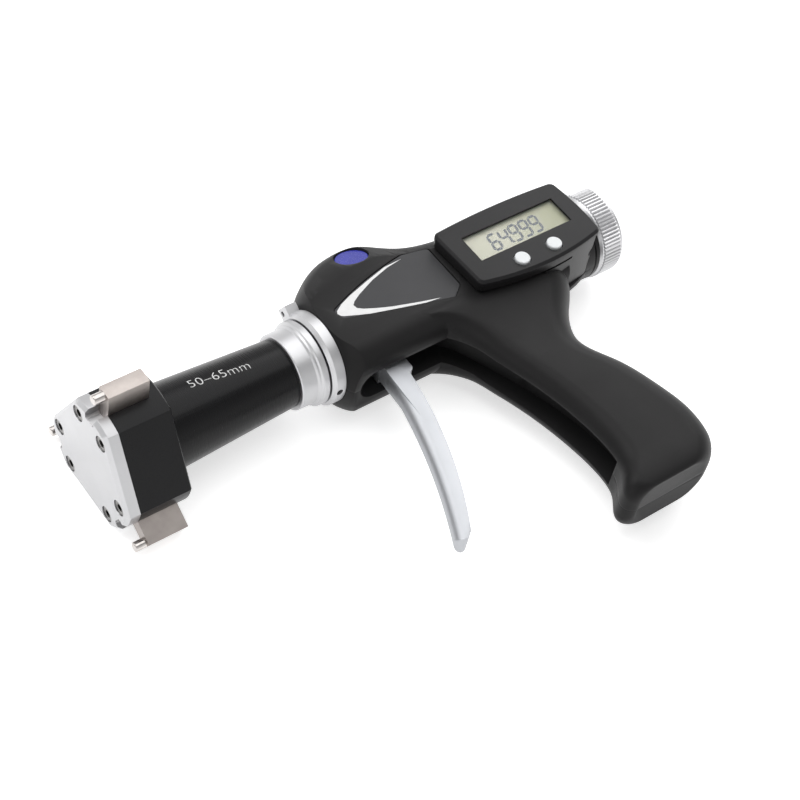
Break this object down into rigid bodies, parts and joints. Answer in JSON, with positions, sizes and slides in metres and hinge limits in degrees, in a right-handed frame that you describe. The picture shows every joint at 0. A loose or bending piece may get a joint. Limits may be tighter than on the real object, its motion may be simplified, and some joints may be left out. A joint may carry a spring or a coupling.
{
  "type": "three-point bore micrometer",
  "caption": "Pistol-grip digital bore gauge: squeezing the trigger draws a cone back and retracts the radial measuring anvils in the head.",
  "frame": {"origin": "centre of the front face of the measuring head", "axes": "+X along the gauge axis from the head towards the rear knob, +Z out of the display, and the grip hangs towards -Y"},
  "size_m": [0.2144, 0.1367, 0.0516],
  "materials": {
    "cap_aluminium": "satin anodised",
    "head_black": "satin black anodised",
    "ground_steel": "ground",
    "pin_chrome": "polished",
    "screw_steel": "machined",
    "hard_steel": "ground",
    "spring_steel": "drawn wire",
    "bronze": "sintered",
    "ring_aluminium": "satin anodised",
    "lever_aluminium": "bead blasted",
    "barrel_aluminium": "turned",
    "soft_shell": "soft-touch",
    "label_grey": "printed",
    "badge_blue": "domed",
    "gasket_rubber": "matte",
    "case_plastic": "semi-gloss",
    "clear_window": "clear",
    "lcd_glass": "reflective liquid crystal",
    "board_green": "solder mask",
    "button_white": "satin",
    "cell_steel": "nickel plated",
    "sensor_black": "moulded",
    "knob_aluminium": "knurled"
  },
  "bodies": {
    "frame": {"head_block": "head_black", "head_cap": "cap_aluminium", "cap_screws": "screw_steel", "return_spring_a": "spring_steel", "return_spring_b": "spring_steel", "return_spring_c": "spring_steel", "neck": "head_black", "front_bush": "bronze", "middle_bush": "bronze", "rear_bush": "bronze", "nose_sleeve": "ring_aluminium", "clamp_ring": "ring_aluminium", "ring_set_screw": "screw_steel", "barrel": "barrel_aluminium", "main_spring": "spring_steel", "lever_pivot_pin": "hard_steel", "near_shell": "soft_shell", "far_shell": "soft_shell", "shell_screws": "screw_steel", "label_plate": "label_grey", "badge": "badge_blue", "display_gasket": "gasket_rubber", "rear_housing": "case_plastic", "display_bezel": "case_plastic", "display_window": "clear_window", "lcd_panel": "lcd_glass", "circuit_board": "board_green", "button_switches": "sensor_black", "battery": "cell_steel", "battery_clip": "spring_steel", "reader_head": "sensor_black", "port_socket": "sensor_black", "rear_flange": "head_black", "flange_screws": "screw_steel"},
    "anvil_a": {"anvil_a": "ground_steel", "pin_a": "pin_chrome", "peg_a": "screw_steel"},
    "anvil_b": {"anvil_b": "ground_steel", "pin_b": "pin_chrome", "peg_b": "screw_steel"},
    "anvil_c": {"anvil_c": "ground_steel", "pin_c": "pin_chrome", "peg_c": "screw_steel"},
    "spindle": {"measuring_cone": "hard_steel", "front_rod": "hard_steel", "yoke": "hard_steel", "rear_rod": "hard_steel", "encoder_scale": "cell_steel"},
    "trigger": {"trigger_lever": "lever_aluminium", "drive_pin": "hard_steel"},
    "mode_button": {"mode_button": "button_white"},
    "set_button": {"set_button": "button_white"},
    "knob": {"rear_knob": "knob_aluminium", "knob_stem": "hard_steel", "knob_clip": "spring_steel"}
  },
  "joints": [
    {"name": "trigger_squeeze", "type": "hinge", "parent": "frame", "child": "trigger", "pos_m": [0.1165, 0.0203, 0], "axis": [0, 0, 1], "range_deg": [0, 28.64], "stiffness_Nm_per_rad": 0.8, "springref_deg": -14.32, "deforming": ["main_spring"]},
    {"name": "spindle_slide", "type": "slide", "parent": "frame", "child": "spindle", "axis": [1, 0, 0], "range_m": [0, 0.0102]},
    {"name": "anvil_a_slide", "type": "slide", "parent": "frame", "child": "anvil_a", "axis": [0, 0, -1], "range_m": [0, 0.0075], "deforming": ["return_spring_a"]},
    {"name": "anvil_b_slide", "type": "slide", "parent": "frame", "child": "anvil_b", "axis": [0, 0.866, 0.5], "range_m": [0, 0.0075], "deforming": ["return_spring_b"]},
    {"name": "anvil_c_slide", "type": "slide", "parent": "frame", "child": "anvil_c", "axis": [0, -0.866, 0.5], "range_m": [0, 0.0075], "deforming": ["return_spring_c"]},
    {"name": "mode_press", "type": "slide", "parent": "frame", "child": "mode_button", "axis": [0, 0, -1], "range_m": [0, 0.0008], "stiffness_N_per_m": 400, "springref_m": -0.0005},
    {"name": "set_press", "type": "slide", "parent": "frame", "child": "set_button", "axis": [0, 0, -1], "range_m": [0, 0.0008], "stiffness_N_per_m": 400, "springref_m": -0.0005},
    {"name": "knob_turn", "type": "hinge", "parent": "frame", "child": "knob", "pos_m": [0.2, 0, 0], "axis": [1, 0, 0], "continuous": true}
  ],
  "couplings": [
    {"joint": "spindle_slide", "follows": "trigger_squeeze", "m_per_rad": 0.0204},
    {"joint": "anvil_a_slide", "follows": "trigger_squeeze", "m_per_rad": 0.015},
    {"joint": "anvil_b_slide", "follows": "trigger_squeeze", "m_per_rad": 0.015},
    {"joint": "anvil_c_slide", "follows": "trigger_squeeze", "m_per_rad": 0.015}
  ]
}
